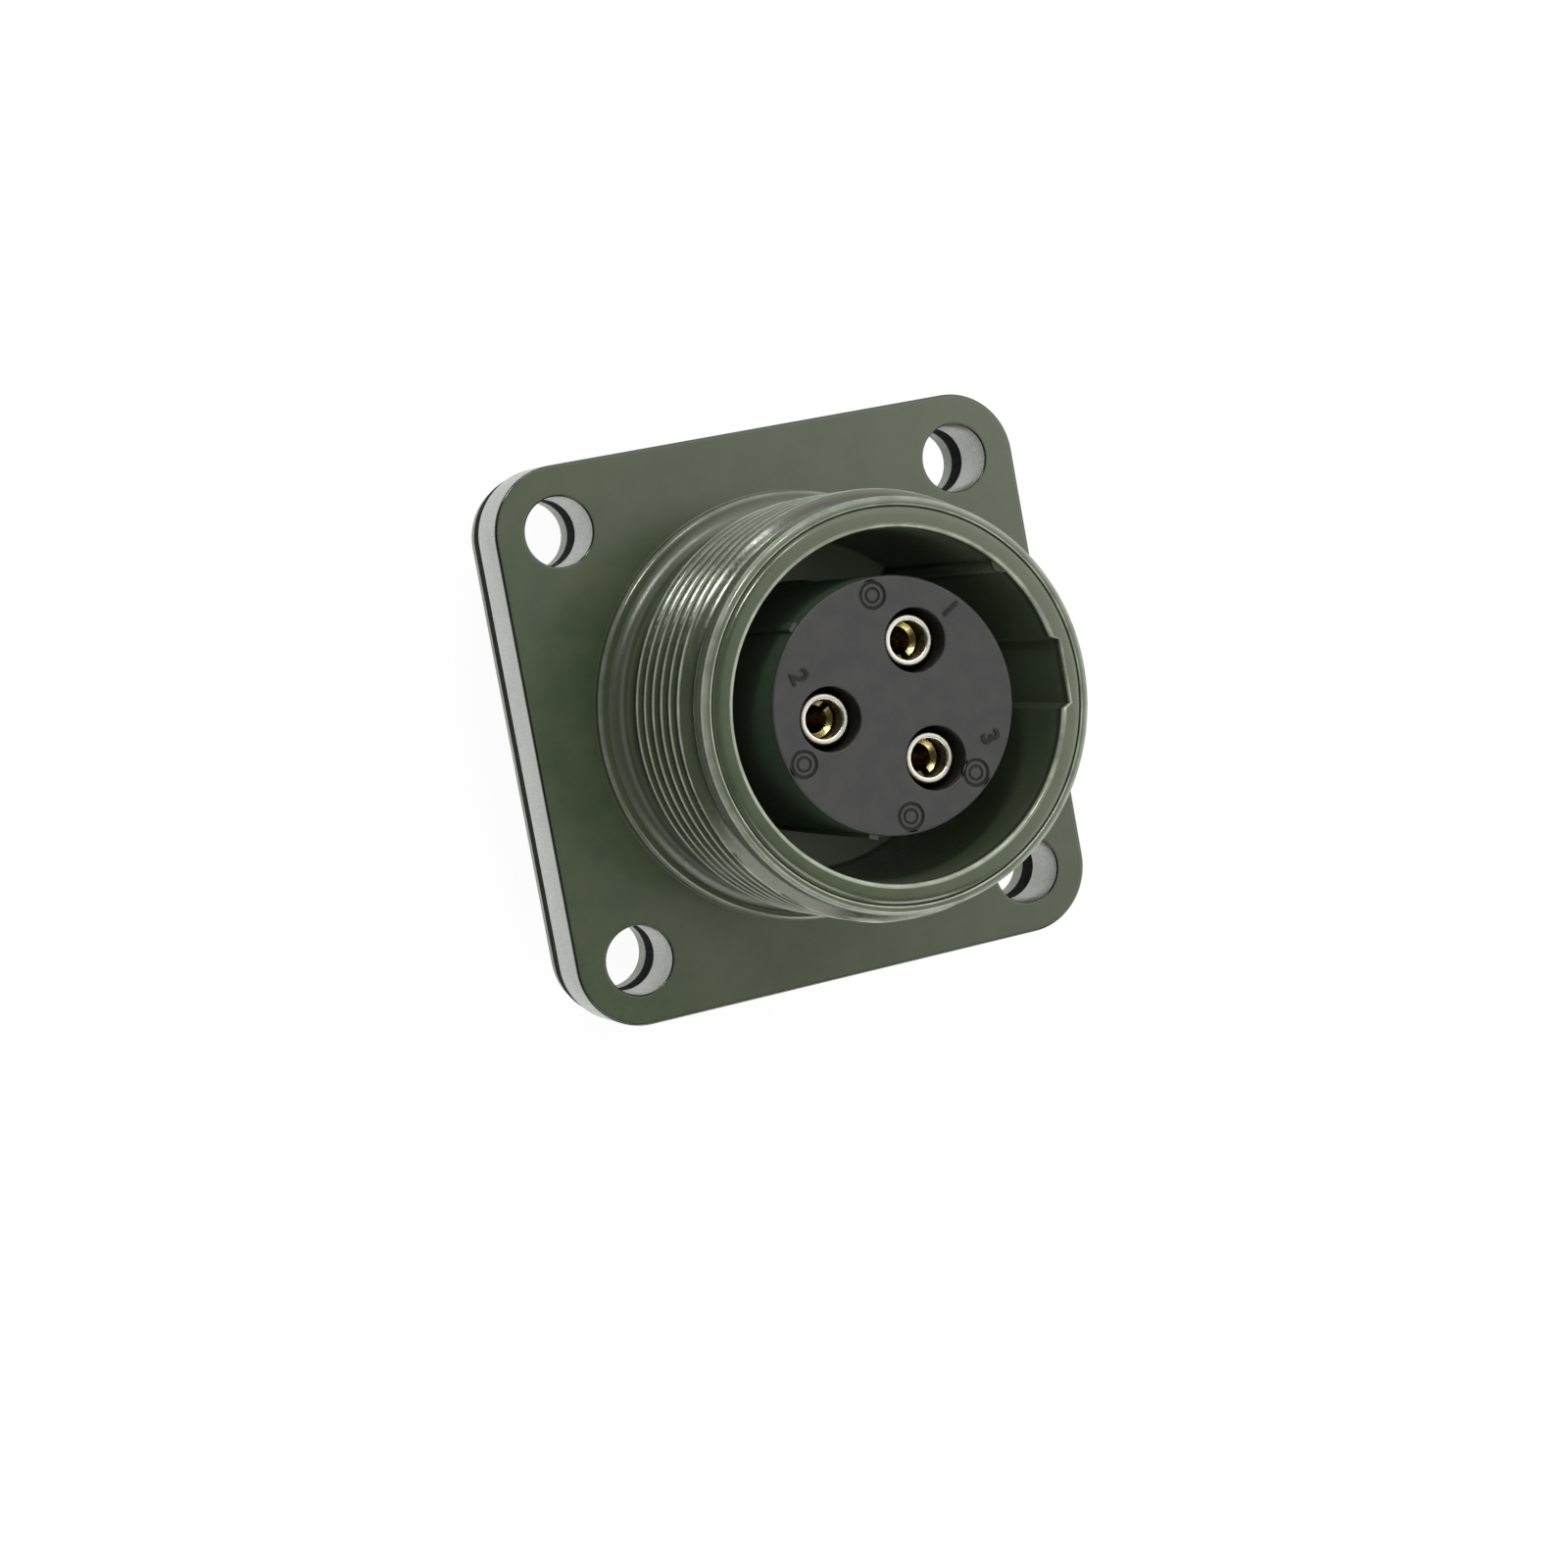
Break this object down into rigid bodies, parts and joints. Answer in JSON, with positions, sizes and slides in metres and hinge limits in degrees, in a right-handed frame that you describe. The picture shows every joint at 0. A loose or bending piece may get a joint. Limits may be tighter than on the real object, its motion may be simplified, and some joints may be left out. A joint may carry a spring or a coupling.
{
  "type": "square-flange circular connector receptacle",
  "caption": "Square-flange panel receptacle with a threaded round barrel and socket contacts in a recessed insulating insert.",
  "frame": {"origin": "centre of the panel face, at the back of the backing plate, on the connector's axis", "axes": "+Z along the connector's axis towards the mating end, +X towards the master keyway"},
  "size_m": [0.03, 0.03, 0.0268],
  "materials": {
    "olive_shell": "semi-gloss olive drab plating over a die casting",
    "black_gasket": "matt sheet rubber",
    "grey_plate": "grey-green plated sheet",
    "insert_plastic": "moulded dark grey insulator, satin",
    "gold_contact": "gold plated, machined",
    "bright_sleeve": "bright plated, drawn",
    "spring_steel": "plain spring steel"
  },
  "bodies": {
    "root": {"shell": "olive_shell", "flange_gasket": "black_gasket", "backing_plate": "grey_plate", "front_insert": "insert_plastic", "rear_insert": "insert_plastic", "retaining_ring": "spring_steel", "socket_contact_1": "gold_contact", "socket_contact_2": "gold_contact", "socket_contact_3": "gold_contact", "contact_hood_1": "bright_sleeve", "contact_hood_2": "bright_sleeve", "contact_hood_3": "bright_sleeve"}
  },
  "joints": []
}
